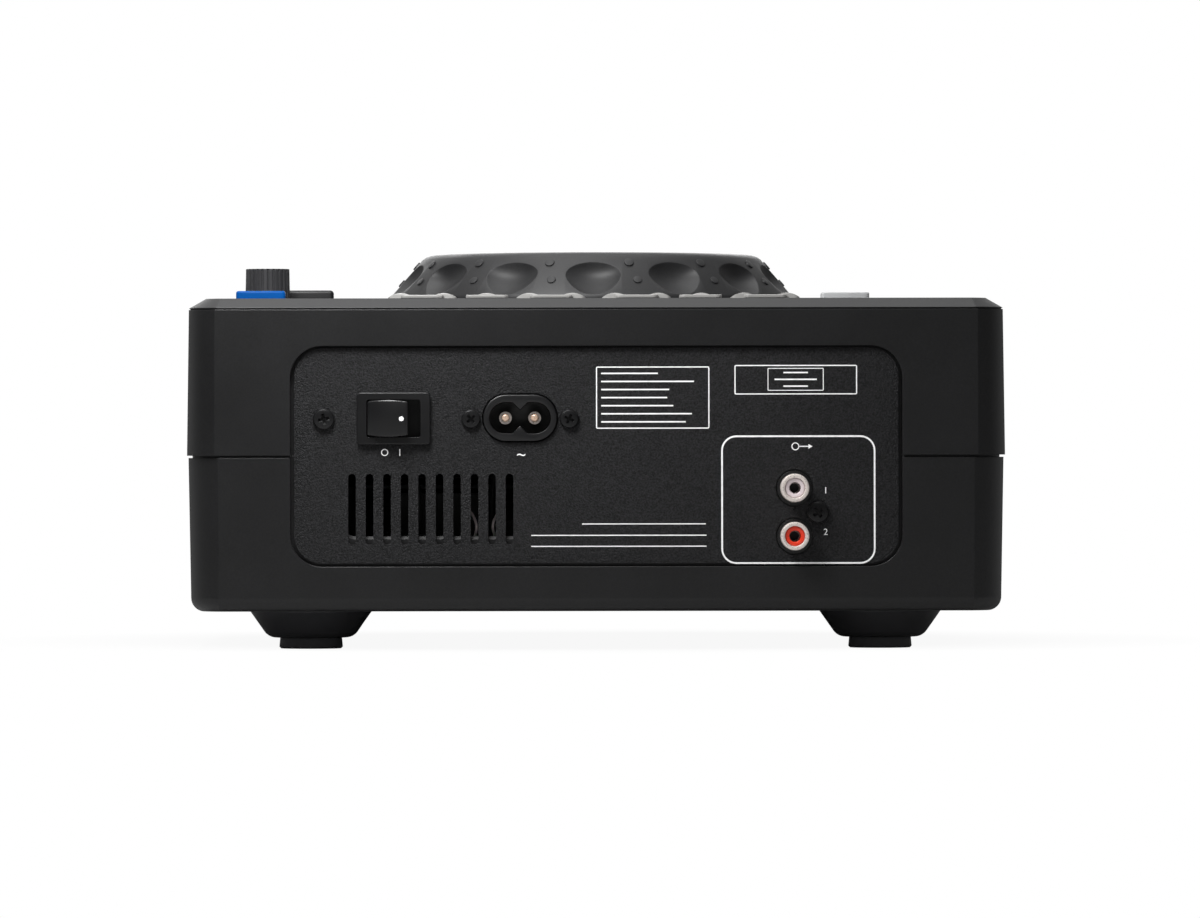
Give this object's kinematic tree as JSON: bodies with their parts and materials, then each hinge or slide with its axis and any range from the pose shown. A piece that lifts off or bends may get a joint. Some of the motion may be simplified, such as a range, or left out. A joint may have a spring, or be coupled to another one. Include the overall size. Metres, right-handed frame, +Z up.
{
  "type": "tabletop disc player",
  "caption": "Tabletop DJ disc player: two-part casing with rear sockets, jog wheel with finger scoops, keys, pitch fader, and a front tray that slides out over a disc drive.",
  "frame": {"origin": "on the surface it stands on, under the middle of the bounding box", "axes": "+Z up, +Y towards the rear panel, +X to the user's right when facing the tray"},
  "size_m": [0.2386, 0.2918, 0.1181],
  "materials": {
    "casing_plastic": "fine texture, charcoal",
    "panel_paint": "grained black powder coat",
    "foot_plastic": "satin",
    "foot_rubber": "matt",
    "black_steel": "blackened",
    "black_nylon": "semi-gloss moulded",
    "pin_brass": "plated",
    "jack_plate": "nickel plated",
    "white_insulator": "moulded",
    "red_insulator": "moulded",
    "jog_plastic": "satin",
    "jog_cap_metal": "brushed, dark anodised",
    "key_light": "satin light grey",
    "key_blue": "satin blue",
    "key_dark": "satin",
    "key_clear": "translucent grey",
    "knob_plastic": "soft touch",
    "steel": "ground",
    "zinc_sheet": "zinc plated",
    "board_green": "lacquered board",
    "component_black": "moulded",
    "window_clear": "clear",
    "display_glass": "dark blue",
    "tray_plastic": "satin black",
    "white_acetal": "natural",
    "motor_can": "zinc plated",
    "lens_glass": "coated lens in its holder",
    "bearing_bronze": "sintered bush"
  },
  "bodies": {
    "casing": {"upper_shell": "casing_plastic", "lower_shell": "casing_plastic", "case_screws": "black_steel", "rear_screws": "black_steel", "rear_panel": "panel_paint", "foot_cones": "foot_plastic", "foot_pads": "foot_rubber", "inlet_housing": "black_nylon", "inlet_pins": "pin_brass", "switch_housing": "black_nylon", "jack_block": "black_nylon", "jack_shells": "jack_plate", "jack_insulator_white": "white_insulator", "jack_insulator_red": "red_insulator", "jog_bearing": "bearing_bronze", "key_surrounds": "key_light", "knob_encoder": "component_black", "slide_pot": "component_black", "display_window": "window_clear", "display_module": "display_glass", "control_board": "board_green", "main_board": "board_green", "power_board": "board_green", "board_parts": "component_black", "loader_chassis": "component_black", "loading_motor": "motor_can", "clamp_bridge": "zinc_sheet"},
    "rocker": {"power_rocker": "black_nylon"},
    "jog": {"jog_wheel": "jog_plastic", "jog_cap": "jog_cap_metal", "jog_hub": "steel"},
    "knob": {"track_knob": "knob_plastic"},
    "fader": {"fader_cap": "key_dark"},
    "tray": {"disc_tray": "tray_plastic", "tray_front": "tray_plastic"},
    "loading_gear": {"loading_gear": "white_acetal"},
    "motor_pinion": {"motor_pinion": "white_acetal"},
    "traverse": {"traverse_frame": "component_black", "sled_rails": "steel", "drive_motors": "motor_can"},
    "spindle": {"spindle_hub": "white_acetal"},
    "sled": {"pickup_sled": "component_black"},
    "lens": {"pickup_lens": "lens_glass"},
    "sled_gear": {"sled_gear": "white_acetal"},
    "puck": {"clamp_puck": "white_acetal"},
    "row_key_1": {"row_key_1": "key_light"},
    "row_key_2": {"row_key_2": "key_light"},
    "row_key_3": {"row_key_3": "key_light"},
    "row_key_4": {"row_key_4": "key_light"},
    "row_key_5": {"row_key_5": "key_light"},
    "row_key_6": {"row_key_6": "key_light"},
    "row_key_7": {"row_key_7": "key_light"},
    "row_key_8": {"row_key_8": "key_light"},
    "row_key_9": {"row_key_9": "key_light"},
    "row_key_10": {"row_key_10": "key_light"},
    "blue_key": {"blue_key": "key_blue"},
    "dark_key": {"dark_key": "key_dark"},
    "clear_key": {"clear_key": "key_clear"},
    "play_button": {"play_button": "key_light"},
    "cue_button": {"cue_button": "key_light"}
  },
  "joints": [
    {"name": "rocker_tilt", "type": "hinge", "parent": "casing", "child": "rocker", "pos_m": [0.059, 0.13335, 0.0675], "axis": [0, 0, 1], "range_deg": [0, 22]},
    {"name": "jog_spin", "type": "hinge", "parent": "casing", "child": "jog", "pos_m": [0, -0.009, 0.1], "axis": [0, 0, 1], "continuous": true},
    {"name": "knob_turn", "type": "hinge", "parent": "casing", "child": "knob", "pos_m": [0.0967, 0.096, 0.105], "axis": [0, 0, 1], "continuous": true},
    {"name": "fader_slide", "type": "slide", "parent": "casing", "child": "fader", "axis": [0, 1, 0], "range_m": [-0.03, 0.03]},
    {"name": "tray_slide", "type": "slide", "parent": "casing", "child": "tray", "axis": [0, -1, 0], "range_m": [0, 0.128]},
    {"name": "loading_gear_spin", "type": "hinge", "parent": "casing", "child": "loading_gear", "pos_m": [0.05, -0.118, 0.034], "axis": [0, 0, 1], "range_deg": [-1049, 1]},
    {"name": "motor_pinion_spin", "type": "hinge", "parent": "casing", "child": "motor_pinion", "pos_m": [0.0292, -0.118, 0.03], "axis": [0, 0, 1], "range_deg": [-1, 3496]},
    {"name": "traverse_tilt", "type": "hinge", "parent": "casing", "child": "traverse", "pos_m": [0, 0.028, 0.031], "axis": [1, 0, 0], "range_deg": [0, 4.2]},
    {"name": "spindle_spin", "type": "hinge", "parent": "traverse", "child": "spindle", "pos_m": [0, -0.078, 0.038], "axis": [0, 0, 1], "continuous": true},
    {"name": "sled_slide", "type": "slide", "parent": "traverse", "child": "sled", "axis": [0, 1, 0], "range_m": [0, 0.034]},
    {"name": "sled_gear_spin", "type": "hinge", "parent": "traverse", "child": "sled_gear", "pos_m": [0.0324, -0.024, 0.034], "axis": [0, 0, 1], "range_deg": [-306, 1]},
    {"name": "lens_focus", "type": "slide", "parent": "sled", "child": "lens", "axis": [0, 0, 1], "range_m": [-0.0004, 0.0004], "stiffness_N_per_m": 200, "springref_m": 0.00004},
    {"name": "puck_spin", "type": "hinge", "parent": "casing", "child": "puck", "pos_m": [0, -0.078, 0.047], "axis": [0, 0, 1], "continuous": true},
    {"name": "row_key_1_press", "type": "slide", "parent": "casing", "child": "row_key_1", "axis": [0, 0, 1], "range_m": [-0.001, 0], "stiffness_N_per_m": 500, "springref_m": 0.0004},
    {"name": "row_key_2_press", "type": "slide", "parent": "casing", "child": "row_key_2", "axis": [0, 0, 1], "range_m": [-0.001, 0], "stiffness_N_per_m": 500, "springref_m": 0.0004},
    {"name": "row_key_3_press", "type": "slide", "parent": "casing", "child": "row_key_3", "axis": [0, 0, 1], "range_m": [-0.001, 0], "stiffness_N_per_m": 500, "springref_m": 0.0004},
    {"name": "row_key_4_press", "type": "slide", "parent": "casing", "child": "row_key_4", "axis": [0, 0, 1], "range_m": [-0.001, 0], "stiffness_N_per_m": 500, "springref_m": 0.0004},
    {"name": "row_key_5_press", "type": "slide", "parent": "casing", "child": "row_key_5", "axis": [0, 0, 1], "range_m": [-0.001, 0], "stiffness_N_per_m": 500, "springref_m": 0.0004},
    {"name": "row_key_6_press", "type": "slide", "parent": "casing", "child": "row_key_6", "axis": [0, 0, 1], "range_m": [-0.001, 0], "stiffness_N_per_m": 500, "springref_m": 0.0004},
    {"name": "row_key_7_press", "type": "slide", "parent": "casing", "child": "row_key_7", "axis": [0, 0, 1], "range_m": [-0.001, 0], "stiffness_N_per_m": 500, "springref_m": 0.0004},
    {"name": "row_key_8_press", "type": "slide", "parent": "casing", "child": "row_key_8", "axis": [0, 0, 1], "range_m": [-0.001, 0], "stiffness_N_per_m": 500, "springref_m": 0.0004},
    {"name": "row_key_9_press", "type": "slide", "parent": "casing", "child": "row_key_9", "axis": [0, 0, 1], "range_m": [-0.001, 0], "stiffness_N_per_m": 500, "springref_m": 0.0004},
    {"name": "row_key_10_press", "type": "slide", "parent": "casing", "child": "row_key_10", "axis": [0, 0, 1], "range_m": [-0.001, 0], "stiffness_N_per_m": 500, "springref_m": 0.0004},
    {"name": "blue_key_press", "type": "slide", "parent": "casing", "child": "blue_key", "axis": [0, 0, 1], "range_m": [-0.001, 0], "stiffness_N_per_m": 500, "springref_m": 0.0004},
    {"name": "dark_key_press", "type": "slide", "parent": "casing", "child": "dark_key", "axis": [0, 0, 1], "range_m": [-0.001, 0], "stiffness_N_per_m": 500, "springref_m": 0.0004},
    {"name": "clear_key_press", "type": "slide", "parent": "casing", "child": "clear_key", "axis": [0, 0, 1], "range_m": [-0.001, 0], "stiffness_N_per_m": 500, "springref_m": 0.0004},
    {"name": "play_button_press", "type": "slide", "parent": "casing", "child": "play_button", "axis": [0, 0, 1], "range_m": [-0.001, 0], "stiffness_N_per_m": 500, "springref_m": 0.0004},
    {"name": "cue_button_press", "type": "slide", "parent": "casing", "child": "cue_button", "axis": [0, 0, 1], "range_m": [-0.001, 0], "stiffness_N_per_m": 500, "springref_m": 0.0004}
  ],
  "couplings": [
    {"joint": "loading_gear_spin", "follows": "tray_slide", "rad_per_m": -142.86},
    {"joint": "motor_pinion_spin", "follows": "tray_slide", "rad_per_m": 476.19},
    {"joint": "sled_gear_spin", "follows": "sled_slide", "rad_per_m": -156.25}
  ]
}
